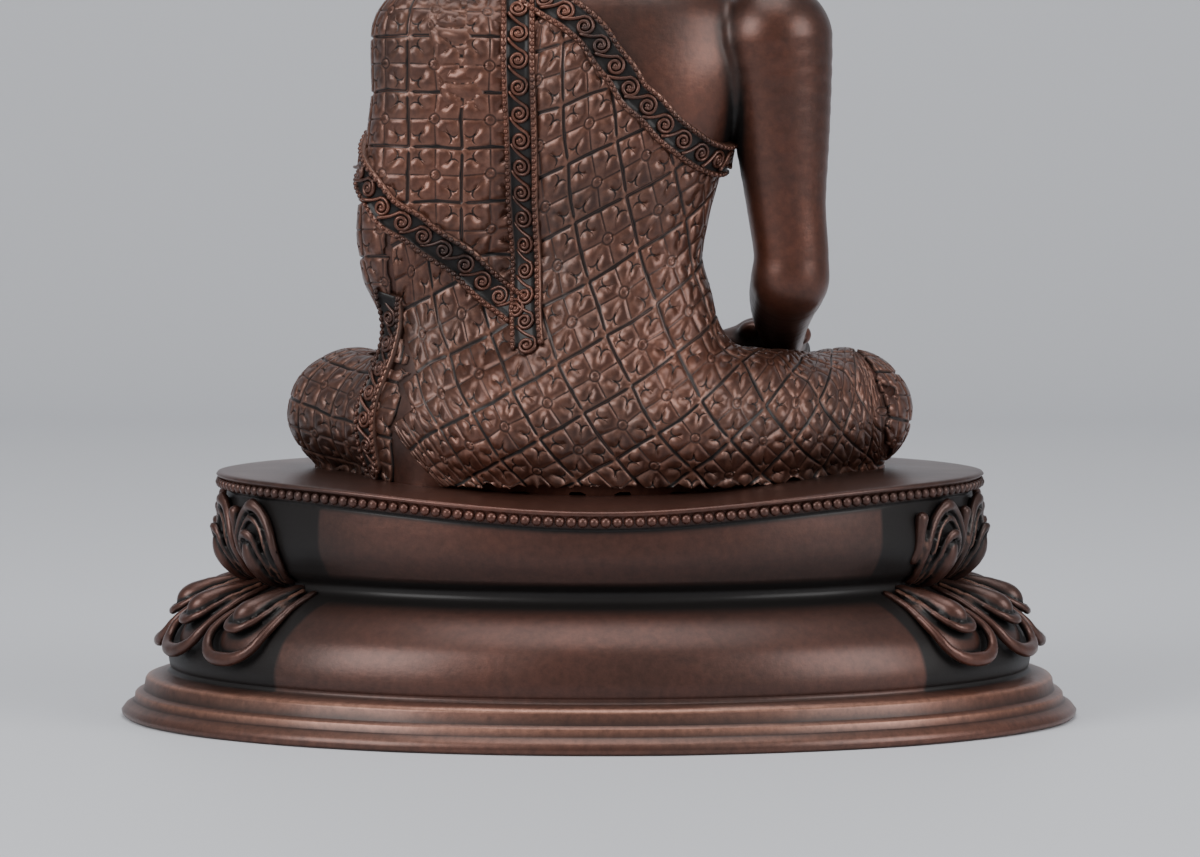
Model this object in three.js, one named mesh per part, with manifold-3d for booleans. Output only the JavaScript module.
// A seated figure in cast copper, cross-legged on an oval double-lotus pedestal.
// Millimetres, +Z up. The origin is at the middle of the pedestal's underside.
// The figure faces -Y, so its own right hand is on the -X side.
import * as THREE from "three";
import { mergeVertices } from "three/addons/utils/BufferGeometryUtils.js";
import Module from "manifold-3d";

const wasm = await Module();
wasm.setup();

// Driving dimensions of the pedestal
const FOOT_HALF_WIDTH = 135;
const PLAN_RATIO = 0.7; // depth as a share of width
const DECK_HEIGHT = 69;
const WAIST_HEIGHT = 38.5;
const PETALS = 17;
const LOWER_BACK_ANGLE = 41; // degrees from the side to where the plain back begins
const UPPER_BACK_ANGLE = 34;
const LOWER_PETAL_RISE = 5;
const UPPER_PETAL_RISE = 5;
const BACK_DIP = 5.5; // how far the rim sinks at the middle of the back
const BACK_DIP_SPREAD = 42;
const SEAT_GAP = 0.3; // between the figure and the deck that it sits on

// Driving dimensions of the figure, above the deck
const SPINE_Y = 20; // the trunk stands this far behind the middle
const SHOULDER = { x: 48, z: 120.5, radius: 16.4 };
const ELBOW_HEIGHT = 55;
const KNEE = { x: 69, y: -9, z: 15.8, radius: 18.6 };
const CHIN_HEIGHT = 148;
const HEAD_Y = 11;
const BAND_WIDTH = 9.6;
const BAND_RISE = 1.8;

const COPPER = { roughness: 0.42, metalness: 0.85 };
const BODY_CELL = 7.5; // edge length of the facets, about
const HEAD_CELL = 5;
const SHORTEST_EDGE = 1.9;

const ROUND = { along: [0, 0, 1], ratio: 1 };

// Cubic interpolation of equal-length rows of numbers
function spline(rows, steps) {
  const last = rows.length - 1;
  return Array.from({ length: steps + 1 }, (_, i) => {
    const k = Math.min(Math.floor((i / steps) * last), last - 1);
    const t = (i / steps) * last - k;
    const [a, b, c, d] = [rows[Math.max(k - 1, 0)], rows[k], rows[k + 1], rows[Math.min(k + 2, last)]];
    return b.map((start, n) => {
      const [slope, nextSlope] = [(c[n] - a[n]) / 2, (d[n] - start) / 2];
      const rise = c[n] - start;
      return start + t * (slope + t * (3 * rise - 2 * slope - nextSlope + t * (slope + nextSlope - 2 * rise)));
    });
  });
}

// Forms are functions of a place: below 0 inside, and close to a distance outside.

// A limb along stations of [x, y, z, radius], thinner by flat.ratio along flat.along
function limbForm(stations, flat = ROUND) {
  const samples = spline(stations, (stations.length - 1) * 3);
  const squeeze = (x, y, z) => {
    const [u, v, w] = flat.along;
    const more = (x * u + y * v + z * w) * (1 / flat.ratio - 1);
    return [x + more * u, y + more * v, z + more * w];
  };
  const spots = samples.map(([x, y, z, radius]) => [...squeeze(x, y, z), radius]);
  return (...place) => {
    const [x, y, z] = squeeze(...place);
    let nearest = Infinity;
    for (let i = 0; i + 1 < spots.length; i++) {
      const [ax, ay, az, ar] = spots[i];
      const [dx, dy, dz, dr] = spots[i + 1].map((value, n) => value - spots[i][n]);
      const along = ((x - ax) * dx + (y - ay) * dy + (z - az) * dz) / (dx * dx + dy * dy + dz * dz);
      const t = Math.min(Math.max(along, 0), 1);
      const away = Math.hypot(x - ax - t * dx, y - ay - t * dy, z - az - t * dz);
      nearest = Math.min(nearest, away - ar - t * dr);
    }
    return nearest * flat.ratio;
  };
}

function ballForm([cx, cy, cz], [rx, ry, rz]) {
  return (x, y, z) => {
    const [u, v, w] = [(x - cx) / rx, (y - cy) / ry, (z - cz) / rz];
    const reach = Math.hypot(u, v, w);
    return (reach * (reach - 1)) / (Math.hypot(u / rx, v / ry, w / rz) + 1e-9);
  };
}

// An upright body from levels of [height, centre y, half width, half depth, centre x]
function columnForm(levels) {
  const samples = spline(levels, (levels.length - 1) * 6);
  const [bottom, top] = [samples[0][0], samples.at(-1)[0]];
  return (x, y, z) => {
    const height = Math.min(Math.max(z, bottom), top);
    const k = Math.max(samples.findIndex((row) => row[0] >= height), 1);
    const [below, above] = [samples[k - 1], samples[k]];
    const share = (height - below[0]) / (above[0] - below[0]);
    const [, cy, wide, deep, cx] = below.map((value, n) => value + share * (above[n] - value));
    const [u, v] = [(x - cx) / wide, (y - cy) / deep];
    const reach = Math.hypot(u, v);
    const side = (reach * (reach - 1)) / (Math.hypot(u / wide, v / deep) + 1e-9);
    return Math.max(side, z - top, bottom - z);
  };
}

// Forms that run into each other with a fillet
function blendOf(softness, ...forms) {
  return (x, y, z) =>
    forms.map((form) => form(x, y, z)).reduce((a, b) => {
      const near = Math.max(softness - Math.abs(a - b), 0);
      return Math.min(a, b) - near ** 2 / (4 * softness);
    });
}

function slopeOf(form, { x, y, z }, step = 0.05) {
  const slope = new THREE.Vector3(
    form(x + step, y, z) - form(x - step, y, z),
    form(x, y + step, z) - form(x, y - step, z),
    form(x, y, z + step) - form(x, y, z - step),
  );
  return slope.divideScalar(2 * step);
}

// Moves a point onto the surface of a form
function settle(form, point, reach) {
  for (let turn = 0; turn < 4; turn++) {
    const slope = slopeOf(form, point);
    const away = form(point.x, point.y, point.z) / Math.max(slope.lengthSq(), 0.2);
    point.addScaledVector(slope, THREE.MathUtils.clamp(-away, -reach, reach));
  }
  return point;
}

// The closed surface of a form, with one corner in each cell of a grid that it crosses
function surfaceOf(form, low, high, cell) {
  const size = high.map((top, axis) => Math.ceil((top - low[axis]) / cell) + 1);
  const stride = [1, size[0], size[0] * size[1]];
  const placeOf = (n) => stride.map((step, axis) => low[axis] + cell * (Math.floor(n / step) % size[axis]));
  const values = Float64Array.from({ length: size[0] * size[1] * size[2] }, (_, n) => form(...placeOf(n)));
  const corners = new Map();
  const quads = [];
  values.forEach((value, n) => {
    stride.forEach((step, axis) => {
      const next = values[n + step];
      if (next === undefined || value < 0 === next < 0) return;
      const crossing = new THREE.Vector3(...placeOf(n));
      crossing.setComponent(axis, crossing.getComponent(axis) + (cell * value) / (value - next));
      const [b, c] = [stride[(axis + 1) % 3], stride[(axis + 2) % 3]];
      const cells = [n, n - b, n - b - c, n - c];
      for (const at of cells) {
        if (!corners.has(at)) corners.set(at, { sum: new THREE.Vector3(), count: 0, index: corners.size });
        corners.get(at).sum.add(crossing);
        corners.get(at).count++;
      }
      quads.push(value < 0 ? cells : cells.reverse());
    });
  });
  const points = [...corners.values()].map(({ sum, count }) => settle(form, sum.divideScalar(count), cell / 3));
  const triangles = quads.flatMap((cells) => {
    const [a, b, c, d] = cells.map((at) => corners.get(at).index);
    const short = points[a].distanceTo(points[c]) < points[b].distanceTo(points[d]);
    return short ? [a, b, c, a, c, d] : [b, c, d, b, d, a];
  });
  const geometry = new THREE.BufferGeometry().setFromPoints(points);
  geometry.setIndex(triangles);
  return solid(geometry);
}

// A closed surface from rings of equal length, with a point at each end
function skin(rings, first, last) {
  const sides = rings[0].length;
  const points = [first, ...rings.flat(), last];
  const at = (ring, side) => 1 + ring * sides + (side % sides);
  const end = points.length - 1;
  const triangles = [];
  for (let side = 0; side < sides; side++) {
    triangles.push(0, at(0, side + 1), at(0, side));
    triangles.push(end, at(rings.length - 1, side), at(rings.length - 1, side + 1));
    for (let ring = 0; ring + 1 < rings.length; ring++) {
      const [a, b] = [at(ring, side), at(ring, side + 1)];
      const [c, d] = [at(ring + 1, side + 1), at(ring + 1, side)];
      triangles.push(a, b, c, a, c, d);
    }
  }
  const geometry = new THREE.BufferGeometry().setFromPoints(points);
  geometry.setIndex(triangles);
  return geometry;
}

// A geometry as a solid that can be joined and cut
function solid(geometry) {
  const bare = geometry.clone();
  bare.deleteAttribute("normal");
  bare.deleteAttribute("uv");
  const merged = mergeVertices(bare, 1e-4);
  return new wasm.Manifold(
    new wasm.Mesh({
      numProp: 3,
      vertProperties: merged.attributes.position.array,
      triVerts: new Uint32Array(merged.index.array),
    }),
  );
}

function geometryOf(manifold) {
  const { vertProperties, triVerts } = manifold.getMesh();
  const geometry = new THREE.BufferGeometry();
  geometry.setAttribute("position", new THREE.BufferAttribute(vertProperties, 3));
  geometry.setIndex(new THREE.BufferAttribute(triVerts, 1));
  return geometry;
}

const unite = (pieces) => pieces.reduce((whole, piece) => whole.add(piece));

// The largest closed shell of a solid, without slivers left between touching forms
const largestShell = (manifold) =>
  manifold.decompose().reduce((best, shell) => (shell.volume() > best.volume() ? shell : best));

// Draws the ends of short edges together wherever the surface stays closed and keeps its faces' sides
function withoutShortEdges(manifold, shortest) {
  const { vertProperties, triVerts } = manifold.getMesh();
  const points = Array.from({ length: vertProperties.length / 3 }, (_, n) =>
    new THREE.Vector3().fromArray(vertProperties, 3 * n),
  );
  const faces = new Map();
  const facesAt = points.map(() => new Set());
  for (let n = 0; n < triVerts.length; n += 3) {
    faces.set(n, [...triVerts.slice(n, n + 3)]);
    for (const corner of faces.get(n)) facesAt[corner].add(n);
  }
  const around = (corner) => new Set([...facesAt[corner]].flatMap((n) => faces.get(n)));
  const normalOf = ([a, b, c], moved = new Map()) => {
    const [p, q, r] = [a, b, c].map((corner) => moved.get(corner) ?? points[corner]);
    return q.clone().sub(p).cross(r.clone().sub(p));
  };
  const edges = [...faces.values()].flatMap(([a, b, c]) => [[a, b], [b, c], [c, a]]);
  const lengthOf = ([a, b]) => points[a].distanceTo(points[b]);
  const short = edges.filter((edge) => edge[0] < edge[1] && lengthOf(edge) < shortest);
  for (const [kept, lost] of short.sort((one, other) => lengthOf(one) - lengthOf(other))) {
    const shared = [...around(kept)].filter((corner) => around(lost).has(corner));
    if (shared.length !== 4 || !shared.includes(lost) || lengthOf([kept, lost]) > shortest) continue;
    const middle = points[kept].clone().lerp(points[lost], 0.5);
    const moved = new Map([[kept, middle], [lost, middle]]);
    const touched = new Set([...facesAt[kept], ...facesAt[lost]]);
    const staying = [...touched].filter((n) => !(faces.get(n).includes(kept) && faces.get(n).includes(lost)));
    const turned = (n) => {
      const [before, after] = [normalOf(faces.get(n)), normalOf(faces.get(n), moved)];
      return before.length() > 1e-4 && before.normalize().dot(after.normalize()) < 0.5;
    };
    if (staying.some(turned)) continue;
    points[kept].copy(middle);
    for (const n of touched) {
      for (const corner of faces.get(n)) facesAt[corner].delete(n);
      if (staying.includes(n)) faces.set(n, faces.get(n).map((corner) => (corner === lost ? kept : corner)));
      else faces.delete(n);
      for (const corner of faces.get(n) ?? []) facesAt[corner].add(n);
    }
  }
  const geometry = new THREE.BufferGeometry().setFromPoints([...faces.values()].flat().map((n) => points[n]));
  geometry.setIndex([...Array(faces.size * 3).keys()]);
  return solid(geometry);
}

const middleOf = (ring) => ring.reduce((sum, p) => sum.add(p), new THREE.Vector3()).divideScalar(ring.length);

// A bar along stations of [x, y, z, radius], thinner by flat.ratio along flat.along
function bar(stations, sides, steps, flat = ROUND) {
  const thin = new THREE.Vector3(...flat.along);
  const samples = spline(stations, steps);
  const centres = samples.map(([x, y, z]) => new THREE.Vector3(x, y, z));
  const ring = (i, shift, share) => {
    const tangent = centres[Math.min(i + 1, steps)].clone().sub(centres[Math.max(i - 1, 0)]).normalize();
    const hint = Math.abs(tangent.z) > 0.8 ? new THREE.Vector3(0, 1, 0) : new THREE.Vector3(0, 0, 1);
    const side = hint.cross(tangent).normalize();
    const over = tangent.clone().cross(side);
    const radius = samples[i][3];
    return Array.from({ length: sides }, (_, k) => {
      const turn = (k / sides) * 2 * Math.PI;
      const arm = side.clone().multiplyScalar(share * radius * Math.cos(turn));
      arm.addScaledVector(over, share * radius * Math.sin(turn));
      arm.addScaledVector(thin, (flat.ratio - 1) * arm.dot(thin));
      return centres[i].clone().addScaledVector(tangent, shift * radius).add(arm);
    });
  };
  const rings = [ring(0, -0.7, 0.65), ...samples.map((_, i) => ring(i, 0, 1)), ring(steps, 0.7, 0.65)];
  return solid(skin(rings, middleOf(ring(0, -1, 0)), middleOf(ring(steps, 1, 0))));
}

// The pedestal's profile from the underside up: [half width, height, petal share, scallop depth]
const FOOT = [
  [134, 0, 0, 0],
  [FOOT_HALF_WIDTH, 1.8, 0, 0],
  [131.6, 4.6, 0, 0],
  [131, 6.8, 0, 0],
  [128.6, 7.6, 0, 0],
  [128, 10.8, 0, 0],
  [125.8, 12, 0, 0],
  [121.8, 12.6, 0, 0],
];
const LOWER_TIER = [
  [121.6, 15, 0.4, -2],
  [121.8, 17.8, 1, -2.6],
  [120.4, 22.6, 0.75, -0.8],
  [117.2, 27.6, 1, 0],
  [109.2, 33.6, 0.6, 0],
];
const UPPER_TIER = [
  [101.6, 43, 0.55, 0],
  [105.4, 50, 1, 0],
  [105.8, 56.4, 0.8, 1],
  [105.4, 62.2, 1, 2],
  [105.2, 64.2, 0.1, 1],
];
const RIM = [
  [107.4, 66.2, 0, 0],
  [108.2, 68.2, 0, 0],
  [106.6, DECK_HEIGHT, 0, 0],
  [84, DECK_HEIGHT, 0, 0],
];

// Angles round an ellipse at equal steps of its length, from one angle up to another
function evenAngles(from, to, count) {
  const fine = 720;
  const lengths = [0];
  for (let i = 1; i <= fine; i++) {
    const angle = from + ((i - 0.5) / fine) * (to - from);
    lengths.push(lengths[i - 1] + Math.hypot(Math.sin(angle), PLAN_RATIO * Math.cos(angle)));
  }
  return Array.from({ length: count }, (_, i) => {
    const wanted = (i / count) * lengths[fine];
    const k = Math.max(lengths.findIndex((length) => length > wanted), 1) - 1;
    const share = k + (wanted - lengths[k]) / (lengths[k + 1] - lengths[k]);
    return from + (share / fine) * (to - from);
  });
}

// How far the rim, and the deck inside it, lie below their height at the sides
function backDip(x, y, height) {
  const nearRim = THREE.MathUtils.smoothstep(y, 8, 72);
  const nearTop = THREE.MathUtils.smoothstep(height, WAIST_HEIGHT + 6, DECK_HEIGHT - 4);
  return BACK_DIP * nearRim * nearTop * Math.exp(-(x ** 2) / (2 * BACK_DIP_SPREAD ** 2));
}

function makePedestal(lift) {
  const petalColumns = [0.05, 0.72, 1, 0.72]; // how far each column of a petal stands out
  const backColumns = 10;
  const columnAngles = (edge) => [
    ...evenAngles(Math.PI - edge, 2 * Math.PI + edge, PETALS * petalColumns.length),
    ...evenAngles(edge, Math.PI - edge, backColumns),
  ];
  const ringAt = (tier, petalRise, backDegrees) => {
    const angles = columnAngles(THREE.MathUtils.degToRad(backDegrees));
    return tier.map(([wide, high, share, scallop]) =>
      angles.map((angle, n) => {
        const onPetal = n < PETALS * petalColumns.length;
        const swell = onPetal ? petalColumns[n % petalColumns.length] : 0;
        const reach = wide + petalRise * share * swell;
        const point = new THREE.Vector3(reach * Math.cos(angle), PLAN_RATIO * reach * Math.sin(angle), high + lift);
        point.z += scallop * (swell - 0.5) * onPetal - backDip(point.x, point.y, high);
        return point;
      }),
    );
  };
  const waist = [[98.4, WAIST_HEIGHT, 0, 0]];
  const rings = [
    ...ringAt([...FOOT, ...LOWER_TIER], LOWER_PETAL_RISE, LOWER_BACK_ANGLE),
    ...ringAt(waist, 0, (LOWER_BACK_ANGLE + UPPER_BACK_ANGLE) / 2),
    ...ringAt([...UPPER_TIER, ...RIM], UPPER_PETAL_RISE, UPPER_BACK_ANGLE),
  ];
  return solid(skin(rings, new THREE.Vector3(0, 0, lift), new THREE.Vector3(0, 0, DECK_HEIGHT + lift)));
}

// The trunk and neck
const trunk = columnForm([
  [-8, 22, 45, 25, 0],
  [6, 23, 47, 27, 0],
  [18, 24, 44, 27, 0],
  [30, 23.5, 38.5, 24.5, 0],
  [41, 22, 33.6, 22, 0],
  [52, 20.5, 30.4, 20.2, 0],
  [61, 20, 28.4, 19.4, 0],
  [71, 20, 30, 20, 0],
  [82, 20, 33, 21.5, 0],
  [93, SPINE_Y, 37, 22.8, 0],
  [104, SPINE_Y, 40.5, 23, 0],
  [114, SPINE_Y, 42, 22, 0],
  [123, SPINE_Y, 41, 19.4, 0],
  [130, 19.6, 38, 17.2, 0],
  [135.5, 18.6, 31, 14.8, 0],
  [139.5, 17.4, 20.6, 13, 0],
  [144, 16, 12.8, 11.6, 0],
  [151, 14.4, 10.8, 11, 0],
  [158, 13, 10.6, 11, 0],
]);

const rightArm = limbForm([
  [-SHOULDER.x, SPINE_Y, SHOULDER.z, SHOULDER.radius],
  [-49.5, SPINE_Y, 107, 14.6],
  [-50.6, SPINE_Y, 91, 12.8],
  [-51.6, SPINE_Y, 75, 11],
  [-53, SPINE_Y, 62, 10.4],
  [-52.8, 19.4, ELBOW_HEIGHT, 10.5],
]);

// The left arm is wrapped in the robe down to the wrist
const leftArm = limbForm([
  [SHOULDER.x - 1, SPINE_Y, SHOULDER.z, SHOULDER.radius],
  [47.6, SPINE_Y, 106, 15.6],
  [49.8, SPINE_Y, 91, 15],
  [52.2, SPINE_Y, 77, 14.6],
  [53.4, 19.4, 65, 13.8],
  [51.6, 16, ELBOW_HEIGHT, 13],
  [44, 5, 49, 11.8],
  [35, -7, 46.4, 9.6],
  [29.6, -14, 45, 7.6],
]);

// Cloth that hangs between the left arm and the trunk, and over the left hip
const flap = limbForm(
  [[33, 24, 118, 14], [35, 24, 98, 13], [37, 24, 78, 12.4], [38, 23.4, 62, 10.6]],
  { along: [0, 1, 0], ratio: 1.05 },
);
const hipCloth = columnForm([
  [-8, 15, 19, 27, 44],
  [6, 15.4, 20, 27.4, 43.6],
  [18, 15.4, 20.4, 26.4, 43],
  [30, 15, 20.6, 23, 41.6],
  [41, 15, 20, 19.4, 40],
  [52, 16, 17, 15, 37.6],
  [60, 17, 10, 10, 35],
]);

const thigh = (way) =>
  limbForm(
    [
      [way * 24, 27, 14, 27],
      [way * 42, 17, 14.6, 24.4],
      [way * 57, 3, 15.2, 21.4],
      [way * KNEE.x, KNEE.y, KNEE.z, KNEE.radius],
    ],
    { along: [0, 0, 1], ratio: 0.85 },
  );
const rightShin = limbForm([
  [-KNEE.x, KNEE.y, KNEE.z, 17.4],
  [-50, -29, 14, 15.6],
  [-24, -41, 13.6, 13.8],
  [4, -45.4, 17, 11.6],
  [22, -40, 24, 8.6],
]);
const leftShin = limbForm([
  [KNEE.x, KNEE.y, KNEE.z, 17.4],
  [51, -28, 14, 15.4],
  [29, -37.6, 13.8, 13.4],
  [4, -36, 19, 11],
  [-13, -31, 26, 8],
]);
const lap = ballForm([0, -8, 13], [52, 30, 19]);
const gathered = ballForm([2, -43, 4], [26, 12, 9]); // cloth bunched under the crossed ankles

const dressed = blendOf(8, trunk, flap, leftArm, hipCloth);
const legs = blendOf(5, thigh(1), thigh(-1), rightShin, leftShin, lap, gathered);
const body = blendOf(3, blendOf(5, dressed, legs), rightArm);

// The forearms and palms. The right hand hangs over the shin, the left one lies in the lap.
function makeHands() {
  const rightForearm = [
    [-52.8, 21, 54.4, 10],
    [-51.6, 8, 50, 9.8],
    [-51.4, -9, 42.5, 8],
    [-52.4, -25, 36.4, 6],
    [-52.8, -32, 34.4, 5.8],
  ];
  const rightPalm = [
    [-52.8, -31, 34.6, 5.6],
    [-52.8, -41, 31, 8],
    [-52.8, -48, 24.6, 8.6],
    [-52.8, -50.4, 19.6, 8.4],
  ];
  const leftForearm = [[33, -9, 45.4, 6.6], [24, -18, 43.8, 5.8], [18, -21.6, 42.6, 5.8]];
  const leftPalm = [[19, -21.6, 42.4, 6.8], [9, -25, 41, 9.2], [1.5, -26.4, 40.8, 9.2]];
  return unite([
    bar(rightForearm, 10, 5),
    bar(rightPalm, 8, 3, { along: [0, -0.8, 0.6], ratio: 0.6 }),
    bar(leftForearm, 8, 2),
    bar(leftPalm, 8, 2, { along: [0, 0, 1], ratio: 0.5 }),
  ]);
}

function makeFingers() {
  const right = [3.6, 2, 2.6, 5.4].map((tip, n) => {
    const x = -46.4 - 4.2 * n;
    return bar([[x, -50, 22, 2.4], [x, -52.6, 14, 2.2], [x, -52.6, tip + 2, 1.9]], 5, 2);
  });
  const left = [15, 18, 17.4, 14].map((reach, n) => {
    const y = -20 - 4.2 * n;
    return bar([[2, y, 41, 2.5], [-6, y, 40.6, 2.2], [3 - reach, y, 42, 1.9]], 5, 2);
  });
  const rightThumb = bar([[-47, -40, 30, 2.9], [-43.4, -47.4, 24, 2.5], [-43, -50.4, 18, 2]], 5, 2);
  const leftThumb = bar([[12, -18.6, 43, 2.9], [5, -16.6, 44.6, 2.5], [-2, -18, 45.2, 2.1]], 5, 2);
  return unite([...right, ...left, rightThumb, leftThumb]);
}

// A foot lying sole upwards on the thigh, with its toes pointing away from the middle
function makeFoot(way, [heelY, heelZ], [toeY, toeZ]) {
  const sole = [
    [way * 17, heelY, heelZ, 7.6],
    [way * 29, (2 * heelY + toeY) / 3, (2 * heelZ + toeZ) / 3, 6.8],
    [way * 41, (heelY + 2 * toeY) / 3, (heelZ + 2 * toeZ) / 3 + 0.4, 8],
    [way * 50, toeY, toeZ, 8.4],
  ];
  const toes = [3, 2.3, 2.1, 1.9, 1.8].map((radius, n) => {
    const [y, z] = [toeY - 5.6 + 3.1 * n, toeZ + 0.8];
    return bar([[way * 50, y, z, radius], [way * (57.6 - 1.1 * n), y, z, radius * 0.86]], 4, 1);
  });
  return unite([bar(sole, 8, 4, { along: [0, 0.2, 0.98], ratio: 0.62 }), ...toes]);
}

// The pleated end of the robe, spread on the deck in front of the crossed ankles
function makeFan() {
  const [pleats, radius, thick] = [9, 21, 3];
  const outline = new THREE.Shape();
  for (let i = 0; i <= pleats * 2; i++) {
    const angle = Math.PI + (i / (pleats * 2)) * Math.PI;
    const reach = radius + (i % 2 ? 1 : -0.8);
    const place = [reach * Math.cos(angle), 0.66 * reach * Math.sin(angle)];
    if (i) outline.lineTo(...place);
    else outline.moveTo(...place);
  }
  const slab = new THREE.ExtrudeGeometry(outline, { depth: thick + 4, bevelEnabled: false });
  return solid(slab.translate(2, -49, -4));
}

function makeHead() {
  const face = blendOf(
    7,
    ballForm([0, HEAD_Y + 1, CHIN_HEIGHT + 34], [20.2, 23, 24]),
    ballForm([0, HEAD_Y - 4.6, CHIN_HEIGHT + 17], [17.4, 16.6, 17]),
    ballForm([0, HEAD_Y - 12.4, CHIN_HEIGHT + 5.6], [6.4, 6, 5.6]),
    limbForm([[0, 15, 142, 10.6], [0, 13, 158, 10.8]]),
  );
  const features = [
    bar([[0, -9.8, CHIN_HEIGHT + 35, 1.8], [0, -12, CHIN_HEIGHT + 27, 2.3], [0, -12.8, CHIN_HEIGHT + 20, 3.2]], 6, 2),
    bar([[-4.6, -8.6, CHIN_HEIGHT + 12.4, 1.6], [0, -10.4, CHIN_HEIGHT + 12.2, 2.4], [4.6, -8.6, CHIN_HEIGHT + 12.4, 1.6]], 6, 2),
  ];
  for (const way of [-1, 1]) {
    const eye = [[way * 4.2, -6.8, 176, 1.9], [way * 8.4, -6.4, 176.4, 2.7], [way * 12.8, -3.6, 176.6, 1.8]];
    const ear = [
      [way * 19.6, HEAD_Y + 1, 182, 4],
      [way * 20.6, HEAD_Y, 174, 3.6],
      [way * 20, HEAD_Y - 1.4, 163, 2.9],
      [way * 20.2, HEAD_Y - 2, 153, 3.2],
    ];
    features.push(bar(eye, 6, 2), bar(ear, 6, 4));
  }
  return unite([surfaceOf(face, [-26, -18, 126], [26, 40, 212], HEAD_CELL), ...features]);
}

// A cap of hair whose surface rises and falls once for each curl
function curledDome([x, y, z], [wide, deep, high], curls, rows, lowest, rise, hairline) {
  const around = curls * 2;
  const rings = Array.from({ length: rows * 2 }, (_, row) =>
    Array.from({ length: around }, (_, n) => {
      const turn = (n / around) * 2 * Math.PI;
      const bottom = lowest + hairline * Math.max(0, -Math.sin(turn)) ** 1.4;
      const slope = bottom + (row / (rows * 2)) * (Math.PI / 2 - bottom);
      const bump = (n + row) % 2 ? rise : 0;
      return new THREE.Vector3(
        x + (wide + bump) * Math.cos(slope) * Math.cos(turn),
        y + (deep + bump) * Math.cos(slope) * Math.sin(turn),
        z + (high + bump) * Math.sin(slope),
      );
    }),
  );
  return solid(skin(rings, new THREE.Vector3(x, y, z), new THREE.Vector3(x, y, z + high + rise)));
}

function makeHair() {
  const cap = curledDome([0, HEAD_Y + 2, 179], [21.4, 23.6, 25.6], 12, 4, -0.55, 1.7, 0.95);
  const bun = curledDome([0, HEAD_Y + 3, 198], [12, 12.4, 19], 8, 3, 0.05, 1.4, 0);
  const jewelRings = [[214, 3.6], [218, 4.6], [220.4, 3], [223.4, 3.4]].map(([z, radius]) =>
    Array.from({ length: 8 }, (_, n) => {
      const turn = (n / 8) * 2 * Math.PI;
      return new THREE.Vector3(radius * Math.cos(turn), HEAD_Y + 3 + radius * Math.sin(turn), z);
    }),
  );
  const jewelEnds = [214, 228].map((z) => new THREE.Vector3(0, HEAD_Y + 3, z));
  return unite([cap, bun, solid(skin(jewelRings, ...jewelEnds))]);
}

// A raised border of a garment: a strip that follows a form through nearby points
function border(form, route, width, steps) {
  const places = spline(route, steps).map((place) => {
    const point = settle(form, new THREE.Vector3(...place), 6);
    return { point, out: slopeOf(form, point).normalize() };
  });
  const rings = places.map(({ point, out }, i) => {
    const along = places[Math.min(i + 1, steps)].point.clone().sub(places[Math.max(i - 1, 0)].point);
    const across = along.cross(out).normalize();
    const corner = (side, rise) => {
      const base = settle(form, point.clone().addScaledVector(across, (side * width) / 2), 3);
      return base.addScaledVector(out, rise);
    };
    return [corner(-1, -2), corner(-1, BAND_RISE * 0.8), corner(0, BAND_RISE), corner(1, BAND_RISE * 0.8), corner(1, -2)];
  });
  return solid(skin(rings, middleOf(rings[0]), middleOf(rings.at(-1))));
}

function makeBorders() {
  const collar = [
    [24, 17, 137],
    [14, 34, 129],
    [4, 40, 121],
    [-5, 42, 110],
    [-14, 41, 101],
    [-26, 36, 91],
    [-36, 22, 88],
    [-31, 5, 88],
    [-18, -1, 93],
    [-4, -3, 100],
    [10, -2, 110],
    [21, 3, 122],
    [27, 10, 132],
  ];
  const flapEdge = [[22, 34, 133], [22.4, 41, 115], [22.4, 42, 92], [22.4, 41, 70], [23, 40, 52], [20.4, 42, 39]];
  const flapHem = [[67, 22, 86], [62, 32, 77], [52, 34, 68], [39, 36, 60], [27, 38, 50]];
  const hipEdge = [[57, 26, 50], [61, 28, 38], [63, 28, 25], [63, 28, 10], [62, 28, 0]];
  return [
    border(dressed, collar, BAND_WIDTH, 18),
    border(dressed, flapEdge, BAND_WIDTH - 1, 8),
    border(dressed, flapHem, BAND_WIDTH - 1, 8),
    border(body, hipEdge, BAND_WIDTH - 3, 7),
  ];
}

function makeFigure() {
  const trunkAndLimbs = surfaceOf(body, [-100, -72, -16], [100, 64, 164], BODY_CELL);
  const feet = [makeFoot(-1, [-29, 31], [-23, 35.4]), makeFoot(1, [-34, 30], [-25, 33.6])];
  const robe = [makeFan(), ...makeBorders()];
  return unite([trunkAndLimbs, makeHands(), makeFingers(), ...feet, ...robe, makeHead(), makeHair()]);
}

function copperMesh(name, manifold, colour) {
  const geometry = geometryOf(manifold);
  geometry.computeVertexNormals();
  const mesh = new THREE.Mesh(geometry, new THREE.MeshStandardMaterial({ color: colour, ...COPPER }));
  mesh.name = name;
  return mesh;
}

const pedestal = makePedestal(0);
const seated = makeFigure().translate([0, 0, DECK_HEIGHT]).subtract(makePedestal(SEAT_GAP));
const figure = withoutShortEdges(largestShell(seated), SHORTEST_EDGE);

const statue = new THREE.Group();
statue.add(copperMesh("lotus_pedestal", pedestal, 0x4a2a20));
statue.add(copperMesh("seated_figure", figure, 0x4f2c20));

export default statue;
